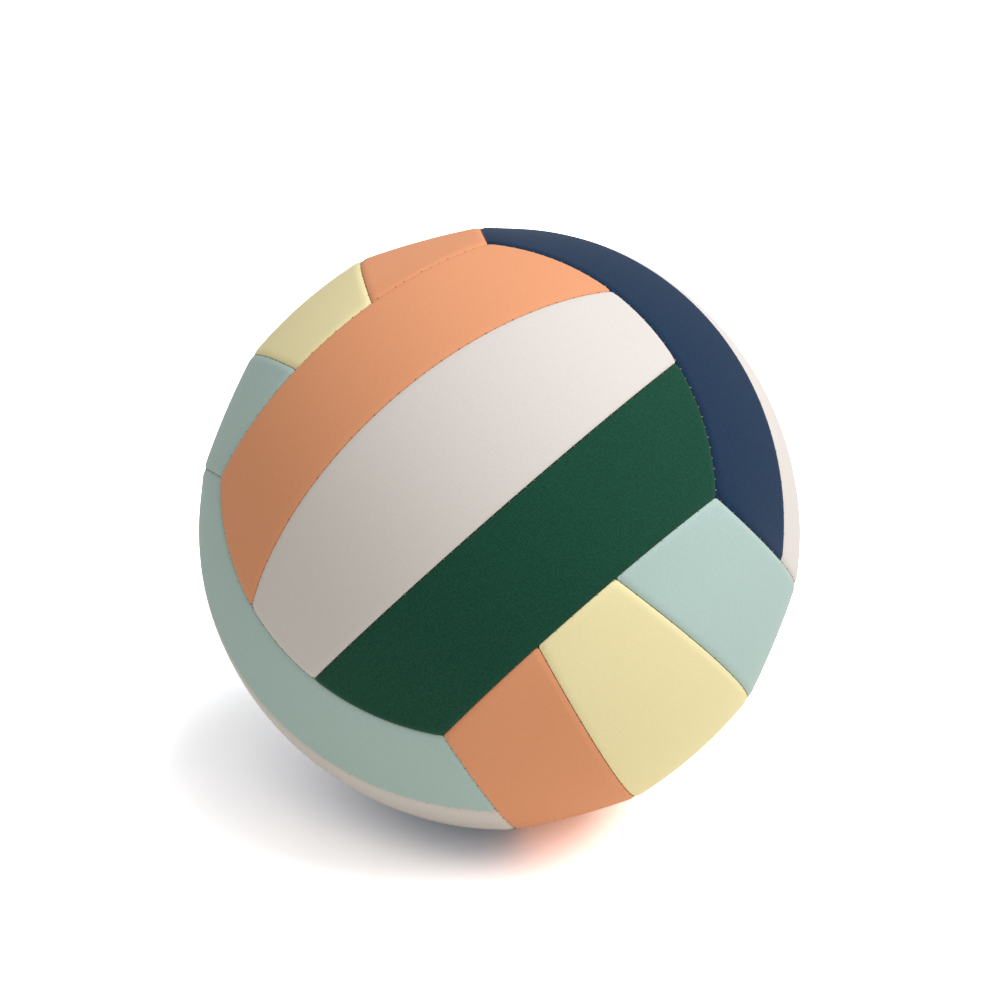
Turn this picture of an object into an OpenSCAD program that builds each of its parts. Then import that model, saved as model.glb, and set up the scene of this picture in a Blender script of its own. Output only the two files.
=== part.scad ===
// Soft volleyball sewn from eighteen strips of knit-faced foam sheet round an inflated bladder.
// The origin is the centre of the ball. In the ball's own axes the front face looks along +X,
// the right face along +Y and the top face along +Z, and the whole ball is then turned as it lies.

/* [Ball] */
// Diameter of the inflated ball over its seams
ball_d = 210; // [190:1:230]
// How the ball lies on the floor: turns about X, Y and Z in degrees
rest_turn = [50.1, -42.5, -104.8]; // [-180:0.1:180]

/* [Panels] */
// Width of a centre strip at its middle, measured over the curve
centre_strip_w = 54; // [50:0.5:60]
// Width of a side strip at its middle, measured over the curve
side_strip_w = 43; // [40:0.5:45]
// Thickness of the knit-faced foam sheet
sheet_t = 3; // [2.4:0.1:4]
// Gap between two sheets at a seam
seam_gap = 0.3; // [0.1:0.05:0.5]
// Radius over which the sheet rolls in at a seam
edge_roll_r = 3; // [2:0.1:4]
// Width of the seam allowance that is turned in behind each edge
hem_w = 5; // [3:0.5:7]
// Thickness of the turned-in allowance, pressed flat by the bladder
hem_t = 1.5; // [1.5:0.1:2.5]

/* [Sewing thread] */
// Diameter of the thread that runs along a seam
thread_d = 0.6; // [0.3:0.05:0.6]
// How far each thread stops short of the corner where seams meet
thread_end_gap = 1.2; // [0.8:0.1:3]

/* [Bladder] */
// Wall of the rubber bladder
bladder_t = 0.9; // [0.6:0.1:1.5]
// Room between the bladder and the allowances that it presses on
bladder_clearance = 0.3; // [0.1:0.05:0.4]

/* [Valve] */
// Diameter of the valve's neck, which shows through the panel
neck_d = 11; // [9:0.5:14]
// How far the neck's rim lies below the panel
neck_recess = 0.3; // [0:0.1:1]
// Length of the neck inside the bladder
neck_drop = 12; // [11:0.5:16]
// Diameter of the flange that is bonded inside the bladder
flange_d = 28; // [22:1:36]
// Thickness of the flange
flange_t = 1.2; // [0.8:0.1:2]
// Diameter of the cloth patch behind the panel
patch_d = 40; // [32:1:52]
// Thickness of the cloth patch
patch_t = 0.4; // [0.2:0.05:0.5]
// Diameter of the core's stem
core_d = 6; // [5:0.1:6.5]
// Diameter of the core's head
core_head_d = 7.6; // [7.2:0.1:8.4]
// Thickness of the core's head
core_head_t = 1.6; // [1:0.1:2.4]
// Diameter of the bulb that holds the core in its neck
core_bulb_d = 7.2; // [6.8:0.1:8]
// Height of the bulb
core_bulb_h = 2.4; // [1.6:0.1:3]
// Diameter of the hole for an inflating needle
needle_hole_d = 2.5; // [2:0.1:3]
// Depth of that hole, down to the closed slit
needle_hole_l = 10; // [6:0.5:11]
// Gap round each valve piece
valve_clearance = 0.1; // [0.05:0.05:0.2]

/* [Hidden] */
$fn = 160;

ball_r = ball_d / 2;
deg_per_mm = 180 / (PI * ball_r);

// The corners of the six faces are the corners of a cube in the ball,
// which lie this far along each axis on a ball of radius 1
cube_corner = 1 / sqrt(3);

// Angles at the ball's centre: from a face's middle to its strip seam, from there to the face's edge,
// and from the middle to the edge
strip_seam_a = centre_strip_w / 2 * deg_per_mm;
side_strip_a = side_strip_w * deg_per_mm;
face_edge_a = strip_seam_a + side_strip_a;

// An edge between two faces is a small circle through two cube corners: the slope of its plane,
// the tilt of its axis, the plane's height along that axis, and half the edge's sweep about it
edge_slope = (sin(face_edge_a) - cube_corner) / (cos(face_edge_a) - cube_corner);
edge_tilt = atan(edge_slope);
edge_height = ball_r * cube_corner * (1 - edge_slope) * cos(edge_tilt);
edge_sweep_a = asin(cube_corner * ball_r / sqrt(pow(ball_r, 2) - pow(edge_height, 2)));

// A strip seam runs from one end edge of its face to the other, this far each way from the middle
strip_end_reach = sqrt(pow(cos(strip_seam_a), 2) + pow(edge_slope, 2));
strip_sweep_a = acos(cube_corner * (1 - edge_slope) / strip_end_reach)
    - atan2(edge_slope, cos(strip_seam_a));

// Rounds from the centre: under the allowances, and the bladder outside and inside
hem_r = ball_r - sheet_t - hem_t;
bladder_r = hem_r - bladder_clearance;
bladder_bore_r = bladder_r - bladder_t;

// Shapes that cut reach in as deep as the valve's neck, and out past the ball
cut_r = hem_r - neck_drop;
reach = 1.2 * ball_r;

// The roll's circle stands this far proud of the ball and laps this far over the seam gap,
// so that it meets both at a clear angle
roll_proud = 0.1 * edge_roll_r;
roll_lap = 0.05;

// A roll's sweep runs on this far past the corners of the strip
roll_overrun_a = 6;

// Centre of the roll's circle in a section through a seam's axis,
// for the sheet above the seam's height or below it
function roll_centre(height, side) =
    let (y = height + side * (seam_gap / 2 + edge_roll_r - roll_lap))
    [sqrt(pow(ball_r - edge_roll_r + roll_proud, 2) - pow(y, 2)), y];

// The thread lies between one sheet's flat face and the other sheet's roll
thread_r = thread_d / 2;
thread_clearance = 0.08;

function thread_centre(height) =
    let (
        roll = roll_centre(height, 1),
        y = height - seam_gap / 2 + thread_r + thread_clearance,
        reach_r = edge_roll_r + thread_r + thread_clearance
    )
    [roll.x + sqrt(pow(reach_r, 2) - pow(roll.y - y, 2)), y];

// The valve stands in the middle of the back face. Heights are measured from the ball's centre,
// and the neck has a lip below the core.
neck_top = ball_r - neck_recess;
neck_bottom = bladder_bore_r - neck_drop;
flange_r = bladder_bore_r - valve_clearance;
patch_r = hem_r;
core_top = neck_top;
core_lip = 1.5;
core_bottom = neck_bottom + core_lip;
bulb_top = core_bottom + core_bulb_h;

ORANGE = "#E8A27C";
WHITE = "#EDE8E3";
GREEN = "#1F5A40";
NAVY = "#2C4160";
MINT = "#AECBC3";
YELLOW = "#ECE3AE";

FACES = ["front", "back", "right", "left", "top", "bottom"];

// Turns a shape of the front face to another face. A third of a turn about the cube's diagonal
// takes front to right and right to top, and half turns take a face to its opposite.
module on_face(face) {
    opposite = face == "left" || face == "bottom" ? [180, 0, 0] : face == "back" ? [0, 0, 180] : [0, 0, 0];
    third = face == "right" || face == "left" ? 120 : face == "top" || face == "bottom" ? 240 : 0;
    rotate(rest_turn) rotate(opposite) rotate(a = third, v = [1, 1, 1]) children();
}

// These put a shape about +Z on the axis of a seam of the front face, with +X towards the middle
// of that seam: the edge at an end of the strips, the edge along the upper side strip,
// and the seam below that strip
module on_end_edge(end) {
    rotate([0, 0, -end * edge_tilt]) rotate([0, 90, 0]) rotate(end * 90) children();
}

module on_upper_edge() {
    rotate([0, -edge_tilt, 0]) children();
}

module on_strip_seam() {
    rotate([0, -strip_seam_a, 0]) children();
}

// All that lies on one side of a seam's plane, square to +Z at a height, drawn in from it by an inset
module beside_seam(height, side, inset) {
    bottom = side > 0 ? height + inset : height - inset - 2 * reach;
    translate([-reach, -reach, bottom]) cube(2 * reach);
}

// A round shell whose poles lie on the strip's own length
module round_shell(outer_r, inner_r) {
    rotate([90, 0, 0]) rotate(180) difference() {
        sphere(r = outer_r);
        sphere(r = inner_r);
    }
}

// The room of the front face's centre strip in a round shell
module centre_space(outer_r, inner_r, inset) {
    intersection() {
        round_shell(outer_r, inner_r);
        on_end_edge(-1) beside_seam(edge_height, 1, inset);
        on_end_edge(1) beside_seam(edge_height, 1, inset);
        on_strip_seam() beside_seam(0, -1, inset);
        rotate([180, 0, 0]) on_strip_seam() beside_seam(0, -1, inset);
    }
}

// The room of the front face's upper side strip in a round shell
module side_space(outer_r, inner_r, inset) {
    intersection() {
        round_shell(outer_r, inner_r);
        on_end_edge(-1) beside_seam(edge_height, 1, inset);
        on_end_edge(1) beside_seam(edge_height, 1, inset);
        on_strip_seam() beside_seam(0, 1, inset);
        on_upper_edge() beside_seam(edge_height, -1, inset);
    }
}

// What a sheet loses where its edge rolls in at a seam, swept each way from the middle of the seam
module edge_roll(height, side, sweep_a) {
    centre = roll_centre(height, side);
    seam_r = sqrt(pow(ball_r, 2) - pow(height, 2));
    rotate(-sweep_a - roll_overrun_a) rotate_extrude(angle = 2 * (sweep_a + roll_overrun_a)) difference() {
        polygon([
            centre, [centre.x, height], [seam_r + edge_roll_r, height],
            centre * (ball_r + edge_roll_r) / norm(centre)
        ]);
        translate(centre) circle(r = edge_roll_r);
    }
}

// Rolls the end edges of a strip
module with_rolled_ends() {
    difference() {
        difference() {
            children();
            on_end_edge(-1) edge_roll(edge_height, 1, edge_sweep_a);
        }
        on_end_edge(1) edge_roll(edge_height, 1, edge_sweep_a);
    }
}

// Rolls the edge of a strip above the upper strip seam, or below it
module with_rolled_seam(side) {
    difference() {
        children();
        on_strip_seam() edge_roll(0, side, strip_sweep_a);
    }
}

// Rolls the upper edge of a side strip
module with_rolled_upper_edge() {
    difference() {
        children();
        on_upper_edge() edge_roll(edge_height, -1, edge_sweep_a);
    }
}

// One centre strip: the sheet, its four rolled edges and the allowance turned in behind them
module centre_strip() {
    with_rolled_seam(-1) rotate([180, 0, 0]) with_rolled_seam(-1) with_rolled_ends() difference() {
        centre_space(ball_r, hem_r, seam_gap / 2);
        centre_space(ball_r - sheet_t, cut_r, seam_gap / 2 + hem_w);
    }
}

// One side strip, the upper one of the front face
module side_strip() {
    with_rolled_upper_edge() with_rolled_seam(1) with_rolled_ends() difference() {
        side_space(ball_r, hem_r, seam_gap / 2);
        side_space(ball_r - sheet_t, cut_r, seam_gap / 2 + hem_w);
    }
}

module centre_panel(face, tint) {
    color(tint) on_face(face) centre_strip();
}

// The side strip that lies up on the front face, or the one across from it
module side_panel(face, across, tint) {
    color(tint) on_face(face) rotate([across ? 180 : 0, 0, 0]) side_strip();
}

// A thread along the circle of a seam at a height, swept each way from the middle of the seam
module thread_arc(height, sweep_a) {
    centre = thread_centre(height);
    bare_a = thread_end_gap / centre.x * 180 / PI;
    rotate(bare_a - sweep_a)
        rotate_extrude(angle = 2 * (sweep_a - bare_a))
            translate(centre) circle(r = thread_r, $fn = 24);
}

// Turns a shape about the valve's axis out from +Z to the middle of the back face
module at_valve() {
    rotate(rest_turn) rotate([0, -90, 0]) children();
}

// A round bar along the valve's axis between two heights
module valve_bar(d, from, to) {
    translate([0, 0, from]) cylinder(h = to - from, d = d);
}

module front_upper_panel() { side_panel("front", false, ORANGE); }
module front_centre_panel() { centre_panel("front", WHITE); }
module front_lower_panel() { side_panel("front", true, GREEN); }

module back_upper_panel() { side_panel("back", false, GREEN); }
module back_lower_panel() { side_panel("back", true, ORANGE); }

// The back centre strip has the hole for the valve's neck
module back_centre_panel() {
    color(WHITE) difference() {
        on_face("back") centre_strip();
        at_valve() valve_bar(neck_d + 2 * valve_clearance, cut_r, reach);
    }
}

module right_front_panel() { side_panel("right", false, NAVY); }
module right_centre_panel() { centre_panel("right", WHITE); }
module right_back_panel() { side_panel("right", true, MINT); }

module left_front_panel() { side_panel("left", false, MINT); }
module left_centre_panel() { centre_panel("left", WHITE); }
module left_back_panel() { side_panel("left", true, NAVY); }

module top_right_panel() { side_panel("top", false, ORANGE); }
module top_centre_panel() { centre_panel("top", YELLOW); }
module top_left_panel() { side_panel("top", true, MINT); }

module bottom_left_panel() { side_panel("bottom", false, ORANGE); }
module bottom_centre_panel() { centre_panel("bottom", YELLOW); }
module bottom_right_panel() { side_panel("bottom", true, MINT); }

// Thread of the seams between the strips of one face
module strip_seam_thread() {
    color("dimgray")
        for (face = FACES, turn = [0, 180]) {
            on_face(face) rotate([turn, 0, 0]) on_strip_seam() thread_arc(0, strip_sweep_a);
        }
}

// Thread of the seams between one face and the next
module face_seam_thread() {
    color("dimgray")
        for (face = FACES, turn = [0, 180]) {
            on_face(face) rotate([turn, 0, 0]) on_upper_edge() thread_arc(edge_height, edge_sweep_a);
        }
}

// Hollow rubber bladder with a round mouth for the valve
module bladder() {
    color("black") difference() {
        sphere(r = bladder_r);
        sphere(r = bladder_bore_r);
        at_valve() valve_bar(neck_d + 2 * valve_clearance, cut_r, reach);
    }
}

// Rubber neck with its flange bonded inside the bladder, and a stepped socket for the core
module valve_housing() {
    color("dimgray") at_valve() difference() {
        union() {
            valve_bar(neck_d, neck_bottom, neck_top);
            intersection() {
                difference() {
                    sphere(r = flange_r);
                    sphere(r = flange_r - flange_t);
                }
                valve_bar(flange_d, cut_r, reach);
            }
        }
        valve_bar(core_d + 2 * valve_clearance, cut_r - neck_drop, reach);
        valve_bar(core_head_d + 2 * valve_clearance, core_top - core_head_t - valve_clearance, reach);
        valve_bar(
            core_bulb_d + 2 * valve_clearance, core_bottom - valve_clearance, bulb_top + valve_clearance
        );
    }
}

// Soft rubber core: head, stem and holding bulb, with the hole that guides a needle to the slit
module valve_core() {
    color("gainsboro") at_valve() difference() {
        union() {
            valve_bar(core_d, core_bottom, core_top);
            valve_bar(core_head_d, core_top - core_head_t, core_top);
            valve_bar(core_bulb_d, core_bottom, bulb_top);
        }
        valve_bar(needle_hole_d, core_top - needle_hole_l, reach);
    }
}

// Round cloth patch between the panel and the bladder, which keeps the hole from tearing
module valve_patch() {
    color("beige") at_valve() intersection() {
        difference() {
            sphere(r = patch_r + patch_t);
            sphere(r = patch_r);
        }
        difference() {
            valve_bar(patch_d, cut_r, reach);
            valve_bar(neck_d + 2 * valve_clearance, cut_r, reach);
        }
    }
}

front_upper_panel();
front_centre_panel();
front_lower_panel();
back_upper_panel();
back_centre_panel();
back_lower_panel();
right_front_panel();
right_centre_panel();
right_back_panel();
left_front_panel();
left_centre_panel();
left_back_panel();
top_right_panel();
top_centre_panel();
top_left_panel();
bottom_left_panel();
bottom_centre_panel();
bottom_right_panel();
strip_seam_thread();
face_seam_thread();
bladder();
valve_housing();
valve_core();
valve_patch();
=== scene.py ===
import math

import bmesh
import bpy
import numpy as np
from mathutils import Matrix, Vector


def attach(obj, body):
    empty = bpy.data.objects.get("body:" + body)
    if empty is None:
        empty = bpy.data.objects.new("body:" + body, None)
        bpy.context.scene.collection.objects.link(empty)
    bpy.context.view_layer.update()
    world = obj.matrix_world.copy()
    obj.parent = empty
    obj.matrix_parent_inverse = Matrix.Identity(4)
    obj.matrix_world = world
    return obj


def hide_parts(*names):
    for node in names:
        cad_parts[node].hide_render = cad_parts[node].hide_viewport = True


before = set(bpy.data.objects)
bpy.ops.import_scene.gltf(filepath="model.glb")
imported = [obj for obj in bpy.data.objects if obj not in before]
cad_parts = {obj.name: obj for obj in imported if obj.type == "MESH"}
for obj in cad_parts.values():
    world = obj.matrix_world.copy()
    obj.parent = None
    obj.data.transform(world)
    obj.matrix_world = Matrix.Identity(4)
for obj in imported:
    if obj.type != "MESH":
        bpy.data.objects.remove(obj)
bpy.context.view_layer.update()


# Bladder: the black butyl rubber balloon that holds the air. It is moulded in one piece, with a mouth
# for the valve, and the sewn cover hides all of it.

def linear(colour, strength=1.0):
    """The linear values that a shader takes, from a colour written in sRGB hex, times a strength."""
    values = [int(colour[i:i + 2], 16) / 255 for i in (1, 3, 5)]
    values = [v / 12.92 if v <= 0.04045 else ((v + 0.055) / 1.055) ** 2.4 for v in values]
    return (*[strength * v for v in values], 1.0)


def add_node(tree, kind, inputs, **settings):
    """Adds a shader node, sets its options, and sets each input to a value or links it to a socket."""
    node = tree.nodes.new("ShaderNode" + kind)
    for name, value in settings.items():
        setattr(node, name, value)
    for name, value in inputs.items():
        if isinstance(value, bpy.types.NodeSocket):
            tree.links.new(value, node.inputs[name])
        else:
            node.inputs[name].default_value = value
    return node


def new_material(name):
    """An empty node material and its tree."""
    material = bpy.data.materials.new(name)
    material.use_nodes = True
    material.node_tree.nodes.clear()
    return material, material.node_tree


def moulded_rubber(name, colour, roughness):
    """Moulded rubber: an even, dull surface with the faint clouding of mould release."""
    cloud_mm = 6.0
    cloud_strength = 1.25
    material, tree = new_material(name)
    place = add_node(tree, "TexCoord", {})
    cloud = add_node(tree, "TexNoise", {
        "Vector": place.outputs["Object"], "Scale": 1000 / cloud_mm, "Detail": 3.0,
    })
    tint = add_node(tree, "Mix", {
        "Factor": cloud.outputs["Fac"], "A": linear(colour), "B": linear(colour, cloud_strength),
    }, data_type="RGBA")
    rubber = add_node(tree, "BsdfPrincipled", {
        "Base Color": tint.outputs["Result"], "Roughness": roughness, "IOR": 1.5,
    })
    add_node(tree, "OutputMaterial", {"Surface": rubber.outputs["BSDF"]})
    return material


def give(node, material):
    """Gives a CAD node's mesh a material."""
    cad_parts[node].data.materials.clear()
    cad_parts[node].data.materials.append(material)


give("bladder", moulded_rubber("butyl_rubber", "#1B1B1C", 0.6))


# Valve: a black rubber neck that shows in a hidden panel, a pale soft core pushed into it, which closes
# round an inflating needle, and a round of cotton cloth glued behind the panel so the hole can't tear.

def woven_cotton(name, colour):
    """Plain woven cotton: crossing threads in small squares; those on top catch the light, and those
    beneath have painted shade.
    """
    thread_mm = 0.5
    under_thread_shade = 0.8
    material, tree = new_material(name)
    place = add_node(tree, "TexCoord", {})
    # The threads beneath are drawn darker: painted shade.
    weave = add_node(tree, "TexChecker", {
        "Vector": place.outputs["Object"], "Scale": 1000 / thread_mm,
        "Color1": linear(colour), "Color2": linear(colour, under_thread_shade),
    })
    cotton = add_node(tree, "BsdfPrincipled", {
        "Base Color": weave.outputs["Color"], "Roughness": 0.95, "Sheen Weight": 0.2,
    })
    add_node(tree, "OutputMaterial", {"Surface": cotton.outputs["BSDF"]})
    return material


give("valve_housing", moulded_rubber("black_rubber", "#232324", 0.55))
give("valve_core", moulded_rubber("pale_soft_rubber", "#CFCBC2", 0.5))
give("valve_patch", woven_cotton("cotton_patch", "#D9CFB8"))


# Panels: eighteen strips of foam sheet with a knit face, three to each of six faces, sewn inside out and
# then turned. The bladder pushes them out, so each strip lies flat across its width, and its edges roll
# down into thin seams with the allowance folded flat behind them.

BALL_R_MM = 105.0
REST_TURN = (50.1, -42.5, -104.8)
CENTRE_STRIP_W_MM = 54.0
SIDE_STRIP_W_MM = 43.0
SHEET_T_MM = 3.0
HEM_W_MM = 5.0
HEM_T_MM = 1.5
STRIP_SEAM_GAP_MM = 0.28
FACE_SEAM_GAP_MM = 0.16
CORNER_R_MM = 1.6

# An edge rolls in on a quarter of an ellipse, and meets its neighbour at this share of the way round.
ROLL_W_MM = 2.8
ROLL_DEPTH_MM = 1.3
ROLL_SHARE = 0.93

# The middle of a strip lies this far below the round of the ball, less towards the ends and the valve.
CENTRE_DIP_MM = 1.0
SIDE_DIP_MM = 1.4
END_FADE_MM = 22.0
NECK_STIFF_MM = 16.0
NECK_HOLE_R_MM = 5.6

# The six faces' corners are those of a cube, and an edge between faces is a plane cut through two of them.
CORNER = 1 / math.sqrt(3)
STRIP_SEAM_A = CENTRE_STRIP_W_MM / 2 / BALL_R_MM
FACE_EDGE_A = STRIP_SEAM_A + SIDE_STRIP_W_MM / BALL_R_MM
EDGE_SLOPE = (math.sin(FACE_EDGE_A) - CORNER) / (math.cos(FACE_EDGE_A) - CORNER)
EDGE_LEVEL = CORNER * (1 - EDGE_SLOPE) / math.hypot(1, EDGE_SLOPE)


def face_turn(face):
    """The turn that takes the front face, which looks along X with its strips along Y, to another face."""
    third = {"right": 120, "left": 120, "top": 240, "bottom": 240}.get(face, 0)
    opposite = {"left": "X", "bottom": "X", "back": "Z"}.get(face)
    turn = Matrix.Rotation(math.radians(third), 3, Vector((1, 1, 1)))
    if opposite:
        turn = Matrix.Rotation(math.pi, 3, opposite) @ turn
    for degrees, axis in zip(REST_TURN, "XYZ"):
        turn = Matrix.Rotation(math.radians(degrees), 3, axis) @ turn
    return turn


def end_angle(across):
    """How far along the ball a strip runs from its middle to its end edge, at an angle across the face."""
    reach = np.sqrt(np.cos(across) ** 2 + EDGE_SLOPE ** 2)
    return np.arccos(CORNER * (1 - EDGE_SLOPE) / reach) - np.arctan2(EDGE_SLOPE, np.cos(across))


def outer_angle(along):
    """The angle across the face of its outer edge, at an angle along it."""
    return np.arcsin(EDGE_LEVEL / np.cos(along)) + math.atan(EDGE_SLOPE)


def strip_angles(kind, lengthways, widthways):
    """Angles across and along the face at places on a strip, given from -1 to 1 each way."""
    if kind == "centre":
        across = widthways * STRIP_SEAM_A
        return across, lengthways * end_angle(across)
    # A side strip's outer edge and end edges depend on each other, so the angles are found by turns.
    turns = 12
    along = np.zeros_like(lengthways)
    for _ in range(turns):
        across = STRIP_SEAM_A + (widthways + 1) / 2 * (outer_angle(along) - STRIP_SEAM_A)
        along = lengthways * end_angle(across)
    return across, along


def plane_distance(out, normal, level):
    """How far places on the ball, named by their ways out, lie above a plane, in mm over the ball."""
    normal = np.array(normal) / np.linalg.norm(normal)
    return BALL_R_MM * (np.arcsin(out @ normal) - math.asin(level))


def edge_distances(kind, out):
    """Distances in mm from places on a strip to its four seams: two ends, then two sides."""
    seam = (-math.sin(STRIP_SEAM_A), 0, math.cos(STRIP_SEAM_A))
    ends = [plane_distance(out, (1, side * EDGE_SLOPE, 0), EDGE_LEVEL) for side in (-1, 1)]
    if kind == "centre":
        other_seam = (seam[0], 0, -seam[2])
        sides = [-plane_distance(out, seam, 0), -plane_distance(out, other_seam, 0)]
    else:
        edge = -plane_distance(out, (-EDGE_SLOPE, 0, 1), EDGE_LEVEL)
        sides = [plane_distance(out, seam, 0), edge]
    return ends, sides


def edge_spacing(width_mm, first_gap_mm, last_gap_mm):
    """Places from -1 to 1 across a width, close together where the edge rolls in and at the allowance."""
    step_mm = 1.6
    edge_mm = np.array([0.18, 0.3, 0.5, 0.8, 1.2, 1.7, 2.3, 2.9, 3.8, 4.9])
    fold_mm = 5.1
    steps = round((width_mm - 2 * fold_mm) / step_mm)
    middle = np.linspace(fold_mm, width_mm - fold_mm, steps + 1)
    places_mm = np.concatenate([
        [first_gap_mm / 2], edge_mm, middle, width_mm - edge_mm[::-1], [width_mm - last_gap_mm / 2],
    ])
    return places_mm / width_mm * 2 - 1


def round_corners(lengthways, widthways, length_mm, width_mm):
    """Draws the places next to a strip's corners in, so that the corners are round."""
    near_end = (1 - (1 - abs(lengthways)) * length_mm / 2 / CORNER_R_MM).clip(0)
    near_side = (1 - (1 - abs(widthways)) * width_mm / 2 / CORNER_R_MM).clip(0)
    from_end_mm = CORNER_R_MM * near_end * (1 - np.sqrt(1 - near_side ** 2 / 2))
    from_side_mm = CORNER_R_MM * near_side * (1 - np.sqrt(1 - near_end ** 2 / 2))
    lengthways = lengthways - np.sign(lengthways) * from_end_mm * 2 / length_mm
    widthways = widthways - np.sign(widthways) * from_side_mm * 2 / width_mm
    return lengthways, widthways


def closed_sheet(name, outer_mm, inner_mm):
    """A closed mesh from two grids of places, a sheet's face and its back, with a wall round the rim."""
    rows, columns = outer_mm.shape[:2]
    index = np.arange(rows * columns).reshape(rows, columns)
    corners = [index[:-1, :-1], index[1:, :-1], index[1:, 1:], index[:-1, 1:]]
    quads = np.stack(corners, axis=-1).reshape(-1, 4)
    rim = np.concatenate([index[:-1, 0], index[-1, :-1], index[:0:-1, -1], index[0, :0:-1]])
    back = rows * columns
    wall = np.stack([rim, np.roll(rim, -1), np.roll(rim, -1) + back, rim + back], axis=-1)
    places_mm = np.concatenate([outer_mm.reshape(-1, 3), inner_mm.reshape(-1, 3)])
    faces = np.concatenate([quads, quads[:, ::-1] + back, wall[:, ::-1]])
    mesh = bpy.data.meshes.new(name)
    mesh.from_pydata((places_mm / 1000).tolist(), [], faces.tolist())
    mesh.shade_smooth()
    return mesh


def lay_cloth(mesh, along, across):
    """Keeps where each place lay on the flat cloth, in metres, so that the knit runs along the strip."""
    cloth_m = np.stack([along, across], axis=-1).reshape(-1, 2) * BALL_R_MM / 1000
    cloth_m = np.concatenate([cloth_m, cloth_m])
    corners = np.zeros(len(mesh.loops), dtype=np.int32)
    mesh.loops.foreach_get("vertex_index", corners)
    layer = mesh.uv_layers.new(name="cloth_m")
    layer.data.foreach_set("uv", cloth_m[corners].astype(np.float32).ravel())


def strip_mesh(name, kind, with_valve):
    """The closed mesh of one strip of the front face: the knit side, the edges and the folded allowance."""
    width_mm = CENTRE_STRIP_W_MM if kind == "centre" else SIDE_STRIP_W_MM
    dip_mm = CENTRE_DIP_MM if kind == "centre" else SIDE_DIP_MM
    length_mm = 2 * BALL_R_MM * end_angle(0.0 if kind == "centre" else STRIP_SEAM_A)
    outer_gap_mm = STRIP_SEAM_GAP_MM if kind == "centre" else FACE_SEAM_GAP_MM
    lengthways, widthways = np.meshgrid(
        edge_spacing(length_mm, FACE_SEAM_GAP_MM, FACE_SEAM_GAP_MM),
        edge_spacing(width_mm, STRIP_SEAM_GAP_MM, outer_gap_mm), indexing="ij",
    )
    lengthways, widthways = round_corners(lengthways, widthways, length_mm, width_mm)
    across, along = strip_angles(kind, lengthways, widthways)
    out = np.stack([
        np.cos(across) * np.cos(along), np.sin(along), np.sin(across) * np.cos(along),
    ], axis=-1)
    ends, sides = edge_distances(kind, out)
    end_mm = np.minimum(*ends).clip(0)
    nearest_mm = np.minimum(end_mm, np.minimum(*sides).clip(0))

    fade = 1 - (1 - (end_mm / END_FADE_MM).clip(0, 1)) ** 2
    dip = dip_mm * (1 - widthways ** 2) * fade
    if with_valve:
        from_neck_mm = BALL_R_MM * np.arccos(out[..., 0].clip(-1, 1))
        dip = dip * (1 - np.exp(-(from_neck_mm / NECK_STIFF_MM) ** 4))
    roll = sum((1 - d / ROLL_W_MM).clip(0, 1) ** 2 for d in ends + sides).clip(0, 1) * ROLL_SHARE ** 2
    outer_r_mm = BALL_R_MM - dip - ROLL_DEPTH_MM * (1 - np.sqrt(1 - roll))
    inner_r_mm = BALL_R_MM - SHEET_T_MM - np.where(nearest_mm < HEM_W_MM, HEM_T_MM, dip)

    mesh = closed_sheet(name, out * outer_r_mm[..., None], out * inner_r_mm[..., None])
    lay_cloth(mesh, along, across)
    return mesh


def wave_scale(period_mm):
    """The scale of a wave texture whose bands repeat at a real distance."""
    period_at_scale_1 = math.tau / 20
    return period_at_scale_1 / (period_mm / 1000)


def knit_on_foam(name, colour, shade_and_grain_contrast):
    """Fine polyester knit on foam: dull, with a soft pale bloom at the edges and a tight loop grain, with
    painted shade in its hollows and painted highlights on its crests.
    """
    # The real loops are about 0.4 mm across, too fine to show, so they are drawn coarser.
    loop_mm = 1.0
    row_mm = 0.8
    grain_mm = 0.7
    loop_share = 0.2
    hollow, crest = 0.25, 0.85
    loop_height_mm = 0.06
    material, tree = new_material(name)
    place = add_node(tree, "UVMap", {}, uv_map="cloth_m")
    loops, rows = (
        add_node(tree, "TexWave", {
            "Vector": place.outputs["UV"], "Scale": wave_scale(period_mm), "Distortion": 2.5,
            "Detail": 1.0, "Detail Scale": 2.0,
        }, wave_type="BANDS", bands_direction=direction, wave_profile="SIN")
        for direction, period_mm in (("X", loop_mm), ("Y", row_mm))
    )
    knit = add_node(tree, "Math", {0: loops.outputs["Fac"], 1: rows.outputs["Fac"]}, operation="MULTIPLY")
    solid = add_node(tree, "TexCoord", {})
    grain = add_node(tree, "TexNoise", {
        "Vector": solid.outputs["Object"], "Scale": 1000 / grain_mm, "Detail": 3.0, "Roughness": 0.7,
    })
    height = add_node(tree, "Math", {
        0: knit.outputs["Value"], 1: loop_share, 2: grain.outputs["Fac"],
    }, operation="MULTIPLY_ADD")
    # The colour is darker where the grain is low and lighter where it is high: painted shade in the hollows
    # and painted highlights on the crests.
    shade = add_node(tree, "MapRange", {
        "Value": height.outputs["Value"], "From Min": hollow, "From Max": crest,
        "To Min": 1 - shade_and_grain_contrast, "To Max": 1 + shade_and_grain_contrast,
    })
    tint = add_node(tree, "VectorMath", {
        0: linear(colour)[:3], "Scale": shade.outputs["Result"],
    }, operation="SCALE")
    bump = add_node(tree, "Bump", {
        "Height": height.outputs["Value"], "Strength": 0.5, "Distance": loop_height_mm / 1000,
    })
    cloth = add_node(tree, "BsdfPrincipled", {
        "Base Color": tint.outputs["Vector"], "Roughness": 0.9, "Normal": bump.outputs["Normal"],
        "Sheen Weight": 0.05, "Sheen Roughness": 0.5, "Specular IOR Level": 0.12,
    })
    add_node(tree, "OutputMaterial", {"Surface": cloth.outputs["BSDF"]})
    return material
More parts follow.
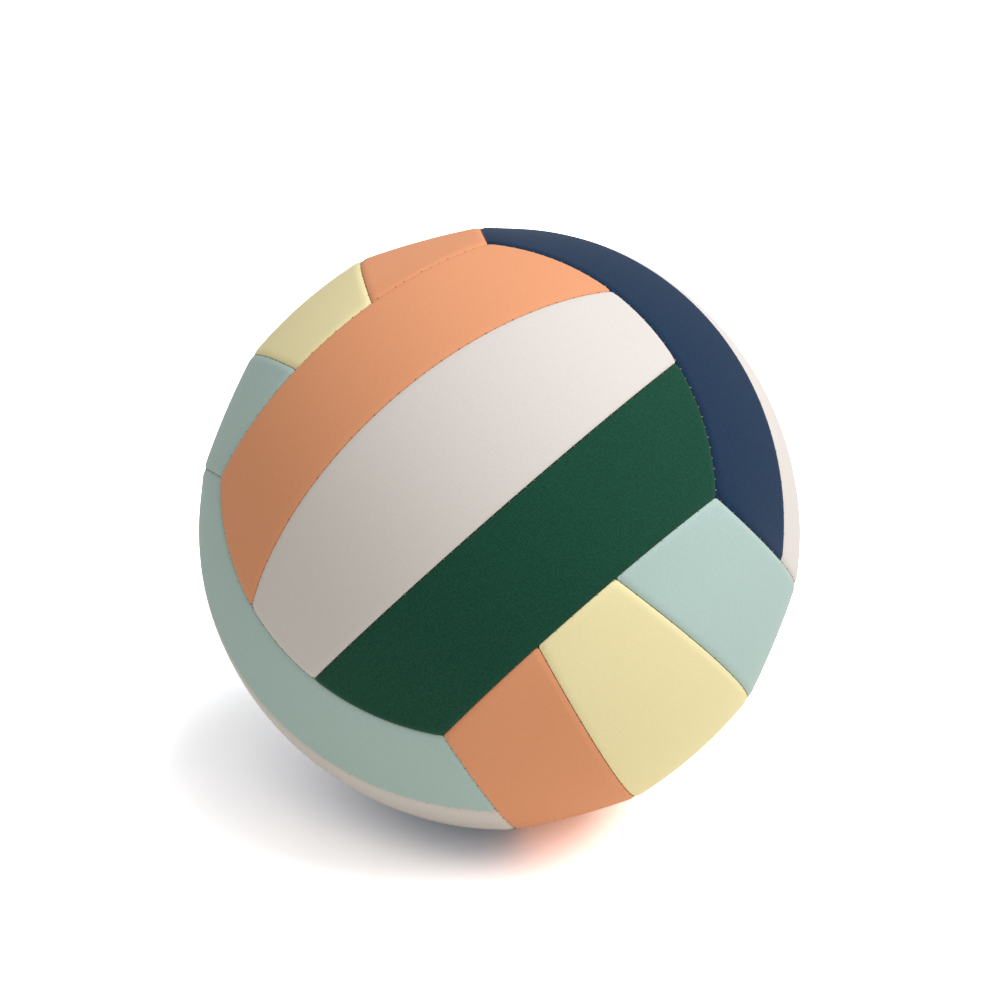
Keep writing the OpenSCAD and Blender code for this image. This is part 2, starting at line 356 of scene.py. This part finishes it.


# The grain, with its painted shade and painted highlights, shows most on the dark cloths, so they have the
# most contrast.
KNITS = {
    "orange_knit": knit_on_foam("orange_knit_on_foam", "#E69E74", 0.06),
    "white_knit": knit_on_foam("white_knit_on_foam", "#DBD4CF", 0.05),
    "green_knit": knit_on_foam("green_knit_on_foam", "#164534", 0.42),
    "navy_knit": knit_on_foam("navy_knit_on_foam", "#172E48", 0.36),
    "mint_knit": knit_on_foam("mint_knit_on_foam", "#B0C7C2", 0.08),
    "yellow_knit": knit_on_foam("yellow_knit_on_foam", "#F4E8B5", 0.05),
}

# The strips of each face in their order across it: a side strip, the centre strip, the other side strip.
FACE_STRIPS = {
    "front": {"upper": "orange_knit", "centre": "white_knit", "lower": "green_knit"},
    "back": {"upper": "green_knit", "centre": "white_knit", "lower": "orange_knit"},
    "right": {"front": "navy_knit", "centre": "white_knit", "back": "mint_knit"},
    "left": {"front": "mint_knit", "centre": "white_knit", "back": "navy_knit"},
    "top": {"right": "orange_knit", "centre": "yellow_knit", "left": "mint_knit"},
    "bottom": {"left": "orange_knit", "centre": "yellow_knit", "right": "mint_knit"},
}


def cut_neck_hole(panel):
    """Cuts the round hole for the valve's neck through the middle of a panel, out along the face's axis."""
    bar_length_mm = 20.0
    bar_mesh = bpy.data.meshes.new("neck_hole")
    form = bmesh.new()
    bmesh.ops.create_cone(form, cap_ends=True, segments=96, radius1=NECK_HOLE_R_MM / 1000,
                          radius2=NECK_HOLE_R_MM / 1000, depth=bar_length_mm / 1000)
    outwards = Matrix.Translation((BALL_R_MM / 1000, 0, 0)) @ Matrix.Rotation(math.pi / 2, 4, "Y")
    form.transform(face_turn("back").to_4x4() @ outwards)
    form.to_mesh(bar_mesh)
    form.free()
    bar = bpy.data.objects.new("neck_hole", bar_mesh)
    bpy.context.scene.collection.objects.link(bar)
    cut = panel.modifiers.new("neck_hole", "BOOLEAN")
    cut.object = bar
    cut.operation = "DIFFERENCE"
    cut.solver = "EXACT"
    cut_panel = panel.evaluated_get(bpy.context.evaluated_depsgraph_get())
    panel.data = bpy.data.meshes.new_from_object(cut_panel)
    panel.modifiers.clear()
    bpy.data.objects.remove(bar)


for face, strips in FACE_STRIPS.items():
    for kind, half_turn, (strip, knit) in zip(
        ("side", "centre", "side"), (0, 0, math.pi), strips.items(),
    ):
        node = f"{face}_{strip}_panel"
        with_valve = node == "back_centre_panel"
        mesh = strip_mesh(f"{node}_knit", kind, with_valve)
        mesh.transform((face_turn(face) @ Matrix.Rotation(half_turn, 3, "X")).to_4x4())
        mesh.materials.append(KNITS[knit])
        panel = bpy.data.objects.new(mesh.name, mesh)
        bpy.context.scene.collection.objects.link(panel)
        if with_valve:
            cut_neck_hole(panel)
        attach(panel, "root")
        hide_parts(node)


# Stitches: twisted polyester thread that pulls the folded edges together. Only the short bars that cross
# from sheet to sheet can be seen, down in the seams.

STITCH_PITCH_MM = 3.6
STITCH_LENGTH_MM = 0.9
STITCH_D_MM = 0.45
STITCH_CORNER_MM = 2.5

# No two stitches are pulled quite alike: their depth wanders by a little from one to the next.
STITCH_DEPTH_MM = 0.77
STITCH_WANDER_MM = 0.1
STITCH_WANDER_TURN = 2.4


def seam_path(axis, level, half_sweep):
    """Places along a seam of the front face and the ways across it there, a stitch's pitch apart."""
    axis = Vector(axis).normalized()
    middle = (Vector((1, 0, 0)) - axis * axis.x).normalized()
    ring = math.sqrt(1 - level ** 2)
    sweep = half_sweep - STITCH_CORNER_MM / BALL_R_MM / ring
    count = round(2 * sweep * ring * BALL_R_MM / STITCH_PITCH_MM)
    for i in range(count + 1):
        spoke = Matrix.Rotation(-sweep + 2 * sweep * i / count, 3, axis) @ middle
        out = axis * level + spoke * ring
        yield out, (axis - out * axis.dot(out)).normalized()


def stitch_row(turn, seam):
    """Where the stitches of one seam lie, and their ways out, over the seam and along it."""
    for i, (out, over) in enumerate(seam):
        depth_mm = STITCH_DEPTH_MM + STITCH_WANDER_MM * math.sin(STITCH_WANDER_TURN * i)
        out, over = turn @ out, turn @ over
        yield out * (BALL_R_MM - depth_mm) / 1000, out, over, out.cross(over)


def thread_bars(name, rows):
    """One mesh of short round bars with domed ends, one for each stitch."""
    form = bmesh.new()
    bmesh.ops.create_icosphere(form, subdivisions=2, radius=0.5)
    ball = np.array([vertex.co for vertex in form.verts])
    ball_faces = np.array([[vertex.index for vertex in face.verts] for face in form.faces])
    form.free()
    size_m = np.array([STITCH_D_MM, STITCH_LENGTH_MM, STITCH_D_MM]) / 1000
    places = [np.array(centre) + (ball * size_m) @ np.array([out, over, along])
              for row in rows for centre, out, over, along in row]
    faces = [ball_faces + i * len(ball) for i in range(len(places))]
    mesh = bpy.data.meshes.new(name)
    mesh.from_pydata(np.concatenate(places).tolist(), [], np.concatenate(faces).tolist())
    mesh.shade_smooth()
    return mesh


def twisted_thread(name, colour):
    """Twisted polyester thread: a dull strand whose lay shows as fine slanted bands of painted shade in the
    hollows of the twist.
    """
    lay_mm = 0.5
    hollow_shade_strength = 0.7
    material, tree = new_material(name)
    place = add_node(tree, "TexCoord", {})
    lay = add_node(tree, "TexWave", {
        "Vector": place.outputs["Object"], "Scale": wave_scale(lay_mm),
    }, wave_type="BANDS", bands_direction="DIAGONAL")
    # The hollows of the twist are drawn darker: painted shade.
    tint = add_node(tree, "Mix", {
        "Factor": lay.outputs["Fac"], "A": linear(colour), "B": linear(colour, hollow_shade_strength),
    }, data_type="RGBA")
    thread = add_node(tree, "BsdfPrincipled", {"Base Color": tint.outputs["Result"], "Roughness": 0.7})
    add_node(tree, "OutputMaterial", {"Surface": thread.outputs["BSDF"]})
    return material


thread_material = twisted_thread("twisted_polyester", "#A07C62")
STRIP_SEAM = ((-math.sin(STRIP_SEAM_A), 0, math.cos(STRIP_SEAM_A)), 0.0, float(end_angle(STRIP_SEAM_A)))
FACE_SEAM = ((-EDGE_SLOPE, 0, 1), EDGE_LEVEL, math.asin(CORNER / math.sqrt(1 - EDGE_LEVEL ** 2)))
seam_turns = [
    face_turn(face) @ Matrix.Rotation(half, 3, "X") for face in FACE_STRIPS for half in (0, math.pi)
]
for node, seam in (("strip_seam_thread", STRIP_SEAM), ("face_seam_thread", FACE_SEAM)):
    mesh = thread_bars(f"{node}_stitches", [stitch_row(turn, seam_path(*seam)) for turn in seam_turns])
    mesh.materials.append(thread_material)
    stitches = bpy.data.objects.new(mesh.name, mesh)
    bpy.context.scene.collection.objects.link(stitches)
    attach(stitches, "root")
    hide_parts(node)


# Studio: a plain floor of white paper, one large soft lamp high on the right, and a pale room that is a
# little warmer than the lamp. The camera sees the paper and the room as white, but for the shadow.

FLOOR_SIDE_M = 12.0
FLOOR_DROP_MM = 104.4
PAPER_COLOUR = "#F2F0EA"
SEEN_PAPER_COLOUR = "#F0F1F6"
PAPER_EXPOSURE = 3.05
LAMP_PLACE_M = (0.886, -0.156, 1.559)
LAMP_SIDE_M = 1.7
LAMP_W = 33.6
LAMP_COLOUR = "#FCFDFF"
ROOM_COLOUR = "#FFFDF8"
ROOM_LEVEL = 0.41


def seen_directly(tree):
    """1 where the camera looks, straight or by a mirror or glass, and 0 for light that goes round."""
    rays = add_node(tree, "LightPath", {})
    mirrored = add_node(tree, "Math", {
        0: rays.outputs["Is Camera Ray"], 1: rays.outputs["Is Glossy Ray"],
    }, operation="MAXIMUM")
    seen = add_node(tree, "Math", {
        0: mirrored.outputs["Value"], 1: rays.outputs["Is Transmission Ray"],
    }, operation="MAXIMUM")
    return seen.outputs["Value"]


def white_paper(name):
    """White studio paper: quite dull, and exposed to white where the camera sees it, but for the shadow."""
    material, tree = new_material(name)
    paper = add_node(tree, "BsdfDiffuse", {"Color": linear(PAPER_COLOUR)})
    exposed_paper = add_node(tree, "BsdfDiffuse", {"Color": linear(SEEN_PAPER_COLOUR, PAPER_EXPOSURE)})
    paper_by_ray = add_node(tree, "MixShader", {
        0: seen_directly(tree), 1: paper.outputs["BSDF"], 2: exposed_paper.outputs["BSDF"],
    })
    add_node(tree, "OutputMaterial", {"Surface": paper_by_ray.outputs["Shader"]})
    return material


def look_at_ball(thing, place_m):
    """Puts a lamp or a camera at a place and turns it to the middle of the ball."""
    thing.location = place_m
    thing.rotation_mode = "QUATERNION"
    thing.rotation_quaternion = (-Vector(place_m)).to_track_quat("-Z", "Y")
    bpy.context.scene.collection.objects.link(thing)


floor_mesh = bpy.data.meshes.new("studio_floor")
form = bmesh.new()
bmesh.ops.create_grid(form, x_segments=1, y_segments=1, size=FLOOR_SIDE_M / 2)
form.transform(Matrix.Translation((0, 0, -FLOOR_DROP_MM / 1000)))
form.to_mesh(floor_mesh)
form.free()
floor_mesh.materials.append(white_paper("white_paper"))
floor = bpy.data.objects.new("studio_floor", floor_mesh)
bpy.context.scene.collection.objects.link(floor)

lamp = bpy.data.lights.new("key_lamp", "AREA")
lamp.size = LAMP_SIDE_M
lamp.energy = LAMP_W
lamp.color = linear(LAMP_COLOUR)[:3]
look_at_ball(bpy.data.objects.new("key_lamp", lamp), LAMP_PLACE_M)

world = bpy.data.worlds.new("white_surround")
bpy.context.scene.world = world
world.use_nodes = True
tree = world.node_tree
tree.nodes.clear()
room = add_node(tree, "Background", {"Color": linear(ROOM_COLOUR), "Strength": ROOM_LEVEL})
backdrop = add_node(tree, "Background", {"Color": linear("#FFFFFF"), "Strength": 1.0})
surround = add_node(tree, "MixShader", {
    0: seen_directly(tree), 1: room.outputs["Background"], 2: backdrop.outputs["Background"],
})
add_node(tree, "OutputWorld", {"Surface": surround.outputs["Shader"]})


# Camera: where the photograph was taken from, with a long lens from above the floor. The shift, a share
# of the picture's width, sets the ball a little below the middle, as in the photograph.

CAMERA_PLACE_M = (0, -1.364, 0.7875)
LENS_MM = 162.6
SENSOR_W_MM = 36.0
FRAME_SHIFT = (0.0005, 0.0282)

camera_data = bpy.data.cameras.new("photo_camera")
camera_data.lens = LENS_MM
camera_data.sensor_width = SENSOR_W_MM
camera_data.shift_x, camera_data.shift_y = FRAME_SHIFT
camera = bpy.data.objects.new("photo_camera", camera_data)
look_at_ball(camera, CAMERA_PLACE_M)
bpy.context.scene.camera = camera
bpy.context.scene.view_settings.view_transform = "Standard"
